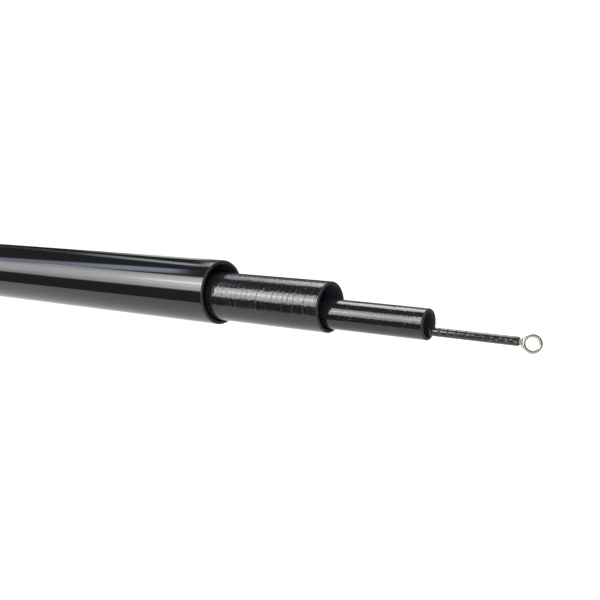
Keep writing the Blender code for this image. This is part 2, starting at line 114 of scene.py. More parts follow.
def gridMesh(name, points, skin, sharpAngle=30):
    # quads between the points of a grid; whatever coincides is welded, so seams close and a row without
    # radius becomes a pole; skin holds each point's place on the unrolled surface, in metres and turns
    rows, columns = points.shape[:2]
    number = np.arange(rows * columns).reshape(rows, columns)
    quads = np.stack([number[:-1, :-1], number[:-1, 1:], number[1:, 1:], number[1:, :-1]], axis=-1)
    quads = quads.reshape(-1, 4)
    places = points.reshape(-1, 3)
    a, b, c, d = (places[quads[:, i]] - places[0] for i in range(4))
    signedVolume = (a * (np.cross(b, c) + np.cross(c, d))).sum()
    if signedVolume < 0:
        quads = quads[:, ::-1]
    mesh = bpy.data.meshes.new(name)
    mesh.from_pydata(places.tolist(), [], quads.tolist())
    layer = mesh.uv_layers.new(name="skin")
    layer.data.foreach_set("uv", skin.reshape(-1, 2)[quads].astype(np.float32).ravel())
    welded = bmesh.new()
    welded.from_mesh(mesh)
    bmesh.ops.remove_doubles(welded, verts=welded.verts, dist=hair)
    welded.to_mesh(mesh)
    welded.free()
    mesh.shade_smooth()
    mesh.set_sharp_from_angle(angle=math.radians(sharpAngle))
    item = bpy.data.objects.new(name, mesh)
    bpy.context.scene.collection.objects.link(item)
    return item


def softened(corners, bend, steps=3):
    # a profile with each corner replaced by a short curve: (1-t)^2 before + 2t(1-t) corner + t^2 after,
    # where before and after lie on the two legs, bend away from the corner or less on a short leg
    corners = np.array(corners, dtype=float)
    legs = np.diff(corners, axis=0)
    lengths = np.linalg.norm(legs, axis=1)[:, None]
    cut = np.minimum(bend, 0.45 * lengths)
    before = (corners[1:-1] - legs[:-1] / lengths[:-1] * cut[:-1])[:, None]
    after = (corners[1:-1] + legs[1:] / lengths[1:] * cut[1:])[:, None]
    t = np.linspace(0, 1, steps + 1)[None, :, None]
    curves = (1 - t) ** 2 * before + 2 * t * (1 - t) * corners[1:-1, None] + t ** 2 * after
    return np.concatenate([corners[:1], curves.reshape(-1, 2), corners[-1:]])


def finely(profile, stations, step, radii=(0.01 * mm, 1.0)):
    # the profile with its legs between two stations and two radii cut into lengths of no more than step;
    # a leg that starts on the axis stays whole
    low, high = np.array([stations, radii]).T
    parts = []
    for first, second in zip(profile[:-1], profile[1:]):
        least, most = np.minimum(first, second), np.maximum(first, second)
        inside = (least > low - hair).all() and (most < high + hair).all()
        count = max(1, math.ceil(np.linalg.norm(second - first) / step)) if inside else 1
        parts.append(first + (second - first) * np.linspace(0, 1, count, endpoint=False)[:, None])
    return np.concatenate(parts + [profile[-1:]])


def turnedPiece(name, line, profile, turns, relief=None, zeroAt=None, sharpAngle=30):
    # a profile of (station, radius) points carried round a line: start + station axis + radius (cos, sin);
    # relief adds to the radius, from the way along the profile, the station, the angle and the radius;
    # zeroAt is the (station, radius) where the way along the profile is nought
    way = np.append(0.0, np.cumsum(np.linalg.norm(np.diff(profile, axis=0), axis=1)))
    if zeroAt is not None:
        way = way - way[np.argmin(np.linalg.norm(profile - zeroAt, axis=1))]
    if np.ndim(turns) == 0:
        turns = np.linspace(0, 1, turns + 1)
    way, turns, station = np.broadcast_arrays(way[:, None], turns[None, :], profile[:, :1])
    radius = np.broadcast_to(profile[:, 1:], way.shape)
    angle = turns * math.tau
    if relief:
        radius = radius + relief(way, station, angle, radius)
    axis = line["axis"]
    side = line.get("side", np.array([0.0, 1.0, 0.0]))
    side = side - side @ axis * axis
    side = side / np.linalg.norm(side)
    across = np.cos(angle)[..., None] * side + np.sin(angle)[..., None] * np.cross(axis, side)
    across[:, -1] = across[:, 0]
    points = line["start"] + station[..., None] * axis + radius[..., None] * across
    return gridMesh(name, points, np.stack([way, turns], axis=-1), sharpAngle)


def wireLoop(ring, wire, count):
    # the round section of a ring as a profile: wire * (sin t, cos t) at the ring's own radius
    turn = np.linspace(0, math.tau, count + 1)
    turn[-1] = 0.0
    wire = wire(turn) if callable(wire) else wire
    return np.stack([wire * np.sin(turn), ring + wire * np.cos(turn)], axis=-1)


def tubeAlong(name, path, radii, side, around):
    # a closed tube round a path: path + radii * (cos side + sin up), up square to the path and to side
    turn = np.linspace(0, math.tau, around + 1)
    turn[-1] = 0.0
    ahead = np.gradient(path, axis=0)
    ahead = ahead / np.linalg.norm(ahead, axis=1)[:, None]
    up = np.cross(ahead, side)
    up = up / np.linalg.norm(up, axis=1)[:, None]
    side = np.cross(up, ahead)
    radii = np.broadcast_to(np.array(radii, dtype=float).reshape(len(path), -1), (len(path), 2))
    points = (path[:, None] + np.cos(turn)[None, :, None] * (side * radii[:, :1])[:, None]
              + np.sin(turn)[None, :, None] * (up * radii[:, 1:])[:, None])
    return gridMesh(name, points, np.zeros((*points.shape[:2], 2)))


def ease(value, low, high):
    # nought below low, one above high, and 3t^2 - 2t^3 between
    t = np.clip((value - low) / (high - low), 0, 1)
    return t * t * (3 - 2 * t)


def hump(distance, width):
    # exp(-(distance / width)^2): one at nought, and gone two widths away
    return np.exp(-(distance / width) ** 2)


def dress(item, node, slot, finish):
    # let a new piece stand for a CAD node, on its body and with its finish
    body = next(b for b, nodes in frame["record"]["behaviour"]["bodies"].items() if node in nodes)
    item.data.materials.clear()
    item.data.materials.append(finish)
    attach(item, body)
    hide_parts(node)


# Finishes: a Signal is a socket that can be used in sums, and Nodes makes and joins the nodes of a tree.

class Signal:
    # one output socket; each operator adds a Math node
    def __init__(self, nodes, socket):
        self.nodes = nodes
        self.socket = socket

    def math(self, operation, *values):
        return self.nodes.add("Math", {"operation": operation}, dict(enumerate(values)))

    def __add__(self, other):
        return self.math("ADD", self, other)

    def __sub__(self, other):
        return self.math("SUBTRACT", self, other)

    def __rsub__(self, other):
        return self.math("SUBTRACT", other, self)

    def __mul__(self, other):
        return self.math("MULTIPLY", self, other)

    def __truediv__(self, other):
        return self.math("DIVIDE", self, other)

    def fraction(self):
        return self.math("FRACT", self)

    def size(self):
        return self.math("ABSOLUTE", self)

    __radd__ = __add__
    __rmul__ = __mul__


class Nodes:
    # add makes any node of a tree from its type, settings and socket values or links
    def __init__(self, tree):
        self.tree = tree

    def add(self, kind, settings=None, inputs=None, output=0):
        node = self.tree.nodes.new("ShaderNode" + kind)
        for name, value in (settings or {}).items():
            setattr(node, name, value)
        for name, value in (inputs or {}).items():
            self.connect(value, node.inputs[name])
        return Signal(self, node.outputs[output])

    def connect(self, value, socket):
        if isinstance(value, Signal):
            self.tree.links.new(value.socket, socket)
        else:
            socket.default_value = value

    def smooth(self, value, low, high):
        return self.add("MapRange", {"interpolation_type": "SMOOTHSTEP"},
                        {"Value": value, "From Min": low, "From Max": high})

    def graph(self, value, points):
        # straight lines between points of (value, height from nought to one)
        first, last = points[0][0], points[-1][0]
        share = (value - first) / (last - first)
        ramp = self.add("ValToRGB", None, {0: share})
        elements = ramp.socket.node.color_ramp.elements
        for _ in points[2:]:
            elements.new(0.5)
        for element, (place, height) in zip(elements, points):
            element.position = (place - first) / (last - first)
            element.color = (height, height, height, 1.0)
        return ramp

    def blend(self, amount, first, second):
        first, second = (c if isinstance(c, Signal) else (*c, 1.0) for c in (first, second))
        return self.add("Mix", {"data_type": "RGBA"}, {0: amount, 6: first, 7: second}, 2)

    def split(self, vector):
        apart = self.add("SeparateXYZ", None, {0: vector})
        return [Signal(self, output) for output in apart.socket.node.outputs]

    def skin(self):
        # metres along the profile, and turns round it
        return self.split(self.add("UVMap", {"uv_map": "skin"}))[:2]

    def place(self, scale=(1.0, 1.0, 1.0)):
        # object coordinates in metres, stretched
        return self.add("Mapping", None, {"Vector": self.add("TexCoord", None, None, 3), "Scale": scale})

    def offAxis(self):
        # distance from the rod's axis
        return self.add("VectorMath", {"operation": "LENGTH"}, {0: self.place((0.0, 1.0, 1.0))}, 1)

    def away(self, point):
        # distance from a point
        return self.add("VectorMath", {"operation": "DISTANCE"}, {0: self.place(), 1: tuple(point)}, 1)

    def noise(self, where, scale, detail=2.0, roughness=0.5):
        return self.add("TexNoise", None, {"Vector": where, "Scale": scale, "Detail": detail,
                                           "Roughness": roughness})

    def rings(self, value, scale, detail):
        # noise along one number only
        return self.add("TexNoise", {"noise_dimensions": "1D"},
                        {"W": value * scale, "Scale": 1.0, "Detail": detail})

    def bump(self, height):
        # a height of one stands for a millimetre
        return self.add("Bump", None, {"Height": height, "Distance": 1.0 * mm, "Strength": 1.0})


class Finish(Nodes):
    # a material in the making
    def __init__(self, name, **fixed):
        self.material = bpy.data.materials.new(name)
        self.material.use_nodes = True
        super().__init__(self.material.node_tree)
        self.shader = self.tree.nodes["Principled BSDF"]
        for socket, value in fixed.items():
            self.shader.inputs[socket.replace("_", " ")].default_value = value

    def feed(self, **signals):
        # what changes over the surface goes into the shader's sockets
        for socket, value in signals.items():
            self.connect(value, self.shader.inputs[socket.replace("_", " ")])

    def show(self, glow):
        # a shader other than the material's own
        self.connect(glow, self.tree.nodes["Material Output"].inputs["Surface"])


# The finishes' dictionaries give each noise as (scale, detail) or (scale, detail, roughness).

def mouthOf(finish, along, look):
    # masks of the ground ring, from groundFrom behind the mouth's outer edge, and of the bore, with the
    # ring's dust and its colour
    ground = finish.smooth(along, -look["groundFrom"], look["groundEdge"] - look["groundFrom"])
    bore = finish.smooth(along, look["wall"] * look["boreFrom"], look["wall"])
    dust = finish.noise(finish.place(), *look["dust"])
    return ground, bore, dust, finish.blend(dust, look["groundDark"], look["groundLight"])


def lacquerFinish(name, look):
    # smooth black lacquer: a faint cloudy colour, slow waves and fine orange peel, and a ground mouth
    finish = Finish(name, IOR=look["ior"])
    along, _ = finish.skin()
    ground, bore, _, bare = mouthOf(finish, along, look)
    cloud = finish.noise(finish.place((0.25, 1, 1)), *look["cloud"])
    peel = finish.noise(finish.place(), *look["peel"])
    waves = finish.noise(finish.place((0.2, 1, 1)), *look["waves"])
    colour = finish.blend(ground, finish.blend(cloud, look["dark"], look["light"]), bare)
    dull = ground * look["groundRoughness"] + cloud * look["cloudRoughness"]
    # the bore's colour is partly painted light: the wall's own near-black, lifted and tinted blue to stand in
    # for the light inside the tube
    finish.feed(Base_Color=finish.blend(bore, colour, look["bore"]),
                Roughness=look["roughness"] + dull,
                Normal=finish.bump(peel * look["peelDepth"] + waves * look["waveDepth"]))
    return finish.material


def carbonFinish(name, look):
    # black carbon and resin; the moulding tape leaves slightly slanted lines, along/pitch + turns, some of
    # them stronger, and the resin is smoothest half way between two; fine grain, pits and a ground mouth
    finish = Finish(name, IOR=look["ior"])
    along, turns = finish.skin()
    where = finish.place()
    ground, bore, dust, bare = mouthOf(finish, along, look)
    wander = finish.noise(where, *look["wander"]) * look["wanderBy"]
    ring = ((along / look["pitch"] + turns + wander).fraction() - 0.5).size() * 2
    strong = finish.smooth(finish.noise(finish.place((1, 0.3, 0.3)), *look["strong"]), *look["strongRange"])
    strong = strong * (1 - look["strongLeast"]) + look["strongLeast"]
    line = finish.smooth(ring, 1 - look["lineWidth"], 1.0) * strong
    grain = finish.noise(where, *look["grain"])
    cloud = finish.noise(where, *look["cloud"])
    pits = finish.noise(where, *look["pits"])
    pit = finish.smooth(pits, look["pitsFrom"], look["pitsFrom"] + look["pitSoft"])
    outside = 1 - ground
    colour = finish.blend(cloud, look["dark"], look["light"])
    colour = finish.blend(pit * look["pitAmount"], colour, look["pit"])
    colour = finish.blend(ground, colour, bare)
    rough = ring * ring * look["ringRoughness"] + line * look["lineRoughness"] + pit * look["pitRoughness"]
    matt = ground * look["groundRoughness"] + dust * ground * look["dustRoughness"]
    height = grain * look["grainDepth"] - line * look["lineDepth"] - pit * look["pitDepth"]
    # the bore's colour is set per tube; on the sliding sections it is the wall's own near-black, lifted and
    # tinted blue as painted light inside the tube
    finish.feed(Base_Color=finish.blend(bore, colour, look["bore"]),
                Roughness=look["roughness"] + rough * outside + matt,
                Normal=finish.bump(height * outside + dust * ground * look["dustDepth"]))
    return finish.material


def varnishFinish(name, look, beads, rear):
    # black thread drowned in varnish: dull dust spots and fine winding marks under the gloss, and dull
    # grooves between the beads, at rear + start + whole pitches
    finish = Finish(name, IOR=look["ior"])
    station = finish.split(finish.place())[0] - rear
    share = ((station - beads["beadStart"]) / beads["beadPitch"]).fraction()
    gap = finish.smooth((share - 0.5).size(), 0.5 - look["gapWidth"] / beads["beadPitch"], 0.5)
    gap = gap * (1 - finish.smooth(station, beads["beadsUntil"], beads["beadsUntil"] + beads["beadFade"]))
    along, turns = finish.skin()
    winding = ((along / beads["threadPitch"] - turns).fraction() - 0.5).size() * 2
    cloud = finish.noise(finish.place((0.4, 1, 1)), *look["cloud"])
    specks = finish.noise(finish.place((0.6, 1, 1)), *look["specks"])
    dust = finish.smooth(specks, look["dustFrom"], look["dustFrom"] + look["dustSoft"])
    colour = finish.blend(cloud, look["dark"], look["light"])
    dull = cloud * look["cloudRoughness"] + dust * look["dustRoughness"] + gap * look["gapRoughness"]
    finish.feed(Base_Color=finish.blend(dust, colour, look["dust"]),
                Roughness=look["roughness"] + dull,
                Normal=finish.bump(winding * look["windingDepth"] + cloud * look["cloudDepth"]))
    return finish.material


def wireFinish(name, look, brazePoint):
    # bright wire with fine scratches and dull patches; at the brazing it is another grey, rougher and duller
    finish = Finish(name)
    patches = finish.noise(finish.place(), *look["patches"])
    scratches = finish.noise(finish.place((1, 0.15, 1)), *look["scratches"])
    away = finish.away(brazePoint) + (patches - 0.5) * look["brazeRagged"]
    braze = 1 - finish.smooth(away, look["brazeFrom"], look["brazeTo"])
    colour = finish.blend(patches, look["dark"], look["light"])
    dull = patches * look["patchRoughness"] + braze * look["brazeRoughness"]
    finish.feed(Base_Color=finish.blend(braze, colour, look["braze"]),
                Metallic=look["metal"] - braze * look["brazeDull"],
                Roughness=look["roughness"] + dull,
                Normal=finish.bump(scratches * look["scratchDepth"] + patches * look["patchDepth"]))
    return finish.material


def anodisedFinish(name, look):
    # dark anodised aluminium: turning marks along the profile, and paler wear where the radius is largest
    finish = Finish(name, Metallic=1.0)
    along, _ = finish.skin()
    marks = finish.rings(along, *look["marks"])
    cloud = finish.noise(finish.place(), *look["cloud"])
    scuff = finish.smooth(finish.noise(finish.place((0.5, 1, 1)), *look["scuffs"]), *look["scuffRange"])
    worn = finish.smooth(finish.offAxis(), look["wearFrom"], look["wearTo"]) * scuff * look["wear"]
    colour = finish.blend(cloud, look["dark"], look["light"])
    dull = cloud * look["cloudRoughness"] + marks * look["markRoughness"] - worn * look["wornGloss"]
    finish.feed(Base_Color=finish.blend(worn, colour, look["bare"]),
                Roughness=look["roughness"] + dull,
                Normal=finish.bump(marks * look["markDepth"] + cloud * look["cloudDepth"]))
    return finish.material


def rubberFinish(name, look):
    # matte rubber or foam: fine grain, paler dust in patches
    finish = Finish(name, Specular_IOR_Level=look["specular"])
    grain = finish.noise(finish.place(), *look["grain"])
    patches = finish.noise(finish.place(), *look["patches"])
    dust = finish.smooth(patches, *look["patchRange"]) * look["dustAmount"]
    colour = finish.blend(grain, look["dark"], look["light"])
    finish.feed(Base_Color=finish.blend(dust, colour, look["dust"]),
                Roughness=look["roughness"] + dust * look["dustRoughness"],
                Normal=finish.bump(grain * look["grainDepth"]))
    return finish.material


# What the three outer tubes share: a mouth that is ground matt, with fine dust on it.
groundMouth = {
    "ior": 1.5, "groundFrom": 0.35 * mm, "groundEdge": 0.03 * mm, "dust": (2600.0, 2.0),
    "groundDark": (0.010, 0.010, 0.014), "groundLight": (0.026, 0.026, 0.032),
}
tubes = {
    "rearEase": 0.3 * mm, "boreEase": 0.2 * mm, "bend": 0.05 * mm,
    "cadBevel": 0.9 * mm, "mouthBevel": 0.34 * mm,    # the CAD's bevel, and the shorter one made here
}

# Butt tube.
buttTube = {
    "around": 160,
    "finish": {**groundMouth, "roughness": 0.07, "wall": 0.9 * mm, "boreFrom": 0.75, "groundRoughness": 0.65,
               "peel": (900.0, 1.0), "peelDepth": 0.0006, "waves": (120.0, 0.0), "waveDepth": 0.004,
               "cloud": (60.0, 3.0), "cloudRoughness": 0.02, "dark": (0.009, 0.009, 0.010),
               # bore: the wall's dark colour with painted bluish light
               "light": (0.014, 0.014, 0.016), "bore": (0.046, 0.047, 0.080)},
}


def tubeProfile(tube, extra=()):
    # the CAD tube's own outline, from its rear edge along the outside to the mouth and back through the bore;
    # extra stations on the outside lie on the straight line between the eased rear end and the CAD's bevel
    length = tube["length"]
    rearBore, rearEdge = radiiAt(tube, 0.0)
    faceBore, faceEdge = radiiAt(tube, length)
    rear = (tubes["rearEase"], radiiAt(tube, tubes["rearEase"])[1])
    front = (length - tubes["cadBevel"], radiiAt(tube, length - tubes["cadBevel"])[1])
    taper = (front[1] - rear[1]) / (front[0] - rear[0])
    stations = (*extra, length - tubes["mouthBevel"])
    outside = [(station, rear[1] + taper * (station - rear[0])) for station in stations]
    boreEnd = length - tubes["boreEase"]
    outline = [(0.0, rearEdge), rear, *outside, (length, faceEdge), (length, faceBore),
               (boreEnd, radiiAt(tube, boreEnd)[0]), (0.0, rearBore), (0.0, rearEdge)]
    return softened(outline, tubes["bend"])


def makeButtTube():
    tube = measureTurned("butt_tube")
    item = turnedPiece("buttTubeLacquered", tube, tubeProfile(tube), buttTube["around"],
                       zeroAt=(tube["length"], radiiAt(tube, tube["length"])[1]))
    dress(item, "butt_tube", "butt_lacquer", lacquerFinish("buttLacquer", buttTube["finish"]))


makeButtTube()
print("butt tube done")


# Sliding sections.
carbon = {
    **groundMouth, "roughness": 0.11, "wall": 0.85 * mm, "boreFrom": 0.7, "groundRoughness": 0.60,
    "dustRoughness": 0.1, "dustDepth": 0.01,
    "wander": (350.0, 1.0), "wanderBy": 0.10, "lineWidth": 0.12,
    "strong": (420.0, 1.0), "strongRange": (0.38, 0.62), "strongLeast": 0.2,
    "grain": (1500.0, 0.0), "cloud": (260.0, 2.0), "dark": (0.009, 0.009, 0.010),
    "pits": (1500.0, 1.0), "pitsFrom": 0.70, "pitSoft": 0.06, "pitAmount": 0.7, "pitRoughness": 0.25,
    "pitDepth": 0.02,
}
sectionTubes = {
    "section_2_tube": {
        "name": "section2Carbon", "slot": "ringed_carbon", "around": 112,
        "fineLength": 44 * mm, "fineStep": 0.22 * mm, "ringHeight": 0.007 * mm,
        "finish": {**carbon, "pitch": 1.85 * mm, "ringRoughness": 0.075, "lineRoughness": 0.02,
                   "lineDepth": 0.036, "grainDepth": 0.036, "pitsFrom": 0.71, "light": (0.016, 0.016, 0.018),
                   # bore: the wall's dark colour with painted bluish light
                   "pit": (0.05, 0.05, 0.055), "bore": (0.046, 0.047, 0.080)}},
    "section_3_tube": {
        "name": "section3Carbon", "slot": "fine_carbon", "around": 96,
        "fineLength": 34 * mm, "fineStep": 0.3 * mm, "ringHeight": 0.003 * mm,
        "finish": {**carbon, "pitch": 1.4 * mm, "ringRoughness": 0.03, "lineRoughness": 0.06,
                   "lineDepth": 0.002, "grainDepth": 0.020, "light": (0.015, 0.015, 0.017),
                   # bore: the wall's dark colour with painted bluish light
                   "pit": (0.06, 0.06, 0.065), "bore": (0.033, 0.034, 0.054)}},
}
tapeRings = {"fadeIn": 4 * mm, "mouthGap": (1.0 * mm, 1.6 * mm)}


def tapeRelief(look, length):
    # shallow swellings between the tape's lines, near the mouth: the surface sinks at a line by
    # height * (2f - 1)^4, f the share of a pitch
    fineFrom = length - look["fineLength"]

    def relief(way, station, angle, radius):
        share = np.mod(way / look["finish"]["pitch"] + angle / math.tau, 1.0)
        near = ease(station, fineFrom, fineFrom + tapeRings["fadeIn"])
        outside = ease(-way, *tapeRings["mouthGap"])
        return -look["ringHeight"] * (2 * share - 1) ** 4 * near * outside
    return relief


def makeSection(node, look):
    tube = measureTurned(node)
    length = tube["length"]
    fineFrom = length - look["fineLength"]
    profile = tubeProfile(tube, [fineFrom])
    profile = finely(profile, (fineFrom, length - tubes["mouthBevel"]), look["fineStep"])
    item = turnedPiece(look["name"], tube, profile, look["around"], tapeRelief(look, length),
                       (length, radiiAt(tube, length)[1]))
    dress(item, node, look["slot"], carbonFinish(look["slot"] + "Finish", look["finish"]))


for sectionNode, sectionLook in sectionTubes.items():
    makeSection(sectionNode, sectionLook)
print("sliding sections done")


# Tip tube, which is hidden but for its front while the rod is pushed in; only the flat face of its mouth
# is ground.
tipTube = {
    "around": 64, "bend": 0.04 * mm,
    "finish": {**carbon, "roughness": 0.12, "wall": 0.3 * mm, "groundFrom": 0.0, "pitch": 1.1 * mm,
               "ringRoughness": 0.02, "lineRoughness": 0.05, "lineDepth": 0.001, "grain": (2600.0, 0.0),
               "grainDepth": 0.008, "dark": (0.008, 0.008, 0.009), "light": (0.014, 0.014, 0.016),
               "pit": (0.04, 0.04, 0.045), "groundDark": (0.02, 0.02, 0.021),
               "groundLight": (0.04, 0.04, 0.042), "bore": (0.020, 0.020, 0.025)},
}


def makeTipTube():
    tube = measureTurned("tip_tube")
    length, rearEase = tube["length"], tubes["rearEase"]
    (rearBore, rearEdge), (bore, edge) = radiiAt(tube, 0.0), radiiAt(tube, length)
    outline = [(0.0, rearEdge), (rearEase, radiiAt(tube, rearEase)[1]), (length, edge), (length, bore),
               (0.0, rearBore), (0.0, rearEdge)]
    item = turnedPiece("tipCarbon", tube, softened(outline, tipTube["bend"]), tipTube["around"],
                       zeroAt=(length, edge))
    dress(item, "tip_tube", "tip_carbon", carbonFinish("tipCarbonFinish", tipTube["finish"]))


makeTipTube()
print("tip tube done")


# Whipping: thread wound round the tip, with varnish that stands in beads behind and in lumps in front.
whipping = {
    "around": 60, "step": 0.055 * mm, "bend": 0.03 * mm, "rearEase": 0.12 * mm, "sharpAngle": 50,
    "shorter": 0.35 * mm, "coat": 0.03 * mm,
    "dome": 0.26 * mm, "core": 1.0 * mm,    # radius of the rounded front edge, and depth of the solid front
    "dish": ((0.02 * mm, 0.8), (0.10 * mm, 0.45), (0.16 * mm, 0.0)),    # depth, share of the radius
    "reliefFrom": (1.4 * mm, 1.7 * mm), "reliefRadii": (0.98 * mm, 1.1 * mm),
    "threadPitch": 0.24 * mm, "threadHeight": 0.0012 * mm,
    "beadPitch": 2.45 * mm, "beadStart": 0.7 * mm, "beadWander": 0.12, "beadsUntil": 20.6 * mm,
    "beadFade": 0.3 * mm, "grooveWidth": 0.15 * mm, "grooveDepth": 0.07 * mm,
    "swellFrom": 24.6 * mm, "swellHeight": 0.007 * mm, "swellGrowth": 0.0019,
    "lumps": 420, "seed": 11, "lumpsUntil": 34 * mm, "lumpHeight": 0.005 * mm,
    "lumpLength": (0.16 * mm, 0.55 * mm), "lumpWidth": (0.14 * mm, 0.34 * mm), "lumpRadius": 1.13 * mm,
    "underBeads": 0.15,    # the share of a lump's height that is left on the beads
    "finish": {"roughness": 0.10, "ior": 1.52, "gapWidth": 0.22 * mm, "gapRoughness": 0.5,
               "windingDepth": 0.001, "cloud": (900.0, 2.0), "cloudDepth": 0.004, "cloudRoughness": 0.1,
               "specks": (2200.0, 1.0), "dustFrom": 0.66, "dustSoft": 0.07, "dustRoughness": 0.3,
               "dark": (0.008, 0.008, 0.008), "light": (0.020, 0.020, 0.020), "dust": (0.10, 0.10, 0.10)},
}


def whippingRelief(way, station, angle, radius):
    # thread: a fine right-hand helix; beads: a groove of the shape exp(-(d/width)^2) each pitch;
    # swells: height * cos(2 pi station / pitch) in front of the beads;
    # lumps: seeded swellings and dents, height * exp(-(ds/length)^2 - (dc/width)^2)
    look = whipping
    rng = np.random.default_rng(look["seed"])
    count = look["lumps"]
    heights = rng.normal(0.0, look["lumpHeight"], count)
    stations = rng.uniform(0.0, look["lumpsUntil"], count)
    places = rng.uniform(0.0, 1.0, count)
    lengths = rng.uniform(*look["lumpLength"], count)
    widths = rng.uniform(*look["lumpWidth"], count)

    outside = ease(way, *look["reliefFrom"]) * ease(radius, *look["reliefRadii"])
    turns = angle / math.tau
    thread = look["threadHeight"] * np.cos(math.tau * (station / look["threadPitch"] - turns))
    phase = (station - look["beadStart"]) / look["beadPitch"] + look["beadWander"] * np.sin(angle)
    phase = np.mod(phase, 1.0) - 0.5
    groove = look["grooveDepth"] * hump((0.5 - abs(phase)) * look["beadPitch"], look["grooveWidth"])
    beads = 1 - ease(station, look["beadsUntil"] - look["beadFade"], look["beadsUntil"] + look["beadFade"])
    along = hump(station[:, :1] - stations, lengths)
    offset = np.mod(turns[0][:, None] - places + 0.5, 1.0) - 0.5
    across = hump(offset * math.tau * look["lumpRadius"], widths)
    lumps = (along * heights) @ across.T * (1 - (1 - look["underBeads"]) * beads)
    height = np.maximum(look["swellHeight"] + look["swellGrowth"] * (station - look["swellFrom"]), 0)
    swell = -height * np.cos(math.tau * phase)
    return outside * (look["coat"] + thread - beads * groove + (1 - beads) * swell + lumps)


def makeWhipping():
    look = whipping
    wound = measureTurned("tip_whipping")
    rearBore, bore = radiiAt(wound, 0.0)[0], radiiAt(wound, wound["length"])[0]
    length = wound["length"] - look["shorter"]
    outer = wound["radius"].max()
    turn = np.linspace(0, math.pi / 2, 7)[1:]
    dome = np.stack([length - look["dome"] * (1 - np.sin(turn)), outer - look["dome"] * (1 - np.cos(turn))],
                    axis=-1)
    front = [(length - depth, dome[-1, 1] * share) for depth, share in look["dish"]]
    outline = [(length - look["core"], 0.0), (length - look["core"], bore), (0.0, rearBore),
               (0.0, outer - look["rearEase"]), (look["rearEase"], outer), (length - look["dome"], outer)]
    outline = finely(softened(outline, look["bend"]), (look["rearEase"], length), look["step"])
    item = turnedPiece("whippingVarnished", wound, np.concatenate([outline, dome, front]), look["around"],
                       whippingRelief, (0.0, rearBore), look["sharpAngle"])
    finish = varnishFinish("whippingVarnish", look["finish"], look, wound["start"][0])
    dress(item, "tip_whipping", "whipping_varnish", finish)


makeWhipping()
print("whipping done")


# Tip ring and its brazed wire frame.
steel = {
    "dark": (0.35, 0.35, 0.315), "light": (0.42, 0.42, 0.38), "scratches": (9000.0, 2.0),
    "brazeRagged": 0.25 * mm,
}
tipRing = {
    "around": 144, "wireAround": 40, "thicker": 0.03 * mm,
    "waves": 3, "waveHeight": 0.004 * mm, "wavePhase": 0.4,
    "brazeAt": 0.75,    # the share of the way from the ring's centre to the whipping
    "finish": {**steel, "metal": 1.0, "roughness": 0.20, "patches": (1600.0, 3.0, 0.6),
               "patchRoughness": 0.08, "patchDepth": 0.002, "scratchDepth": 0.001,
               "braze": (0.64, 0.63, 0.56), "brazeRoughness": 0.25, "brazeDull": 0.5,
               "brazeFrom": 0.45 * mm, "brazeTo": 0.85 * mm},
}
# Lengths and radii of the frame are in millimetres, from the whipping's front.
ringFrame = {
    "around": 24, "stemRadius": 0.52, "stemEnds": (-6.48024, -0.51976), "stemCap": 0.00007,
    "stemPoints": 28, "armPoints": 24, "bendPoints": 12, "webPoints": 20, "brazePoints": 40,
    "armRadius": 0.29, "armStart": -0.58,
    "armTaper": 0.8, "armEnd": 100,    # the arms follow the ring to this many degrees from the rod's line
    "webThickness": 0.30, "webStart": -0.30,
    "brazeSpan": 62, "brazeRadius": 0.405, "brazeEndRadius": 0.28,
    "voxel": 0.04, "smoothing": 6,
    "brazeAt": 0.26,    # the share of the way from the whipping to the ring's centre
    "finish": {**steel, "metal": 0.62, "roughness": 0.32, "patches": (1900.0, 3.0, 0.6),
               "patchRoughness": 0.12, "patchDepth": 0.008, "scratchDepth": 0.0015,
               "braze": (0.60, 0.59, 0.50), "brazeRoughness": 0.20, "brazeDull": 0.2,
               "brazeFrom": 0.20 * mm, "brazeTo": 0.45 * mm},
}


def makeTipRing(ring, neck):
    def relief(way, station, angle, radius):
        # faint flats round the ring: height * cos(waves * angle + phase)
        return tipRing["waveHeight"] * np.cos(tipRing["waves"] * angle + tipRing["wavePhase"])

    profile = wireLoop(ring["ring"], ring["wire"] + tipRing["thicker"], tipRing["wireAround"])
    line = {**ring, "side": neck - ring["start"]}
    item = turnedPiece("tipRingPolished", line, profile, tipRing["around"], relief)
    near = ring["start"] + (neck - ring["start"]) * tipRing["brazeAt"]
    dress(item, "tip_ring", "ring_steel", wireFinish("ringSteel", tipRing["finish"], near))


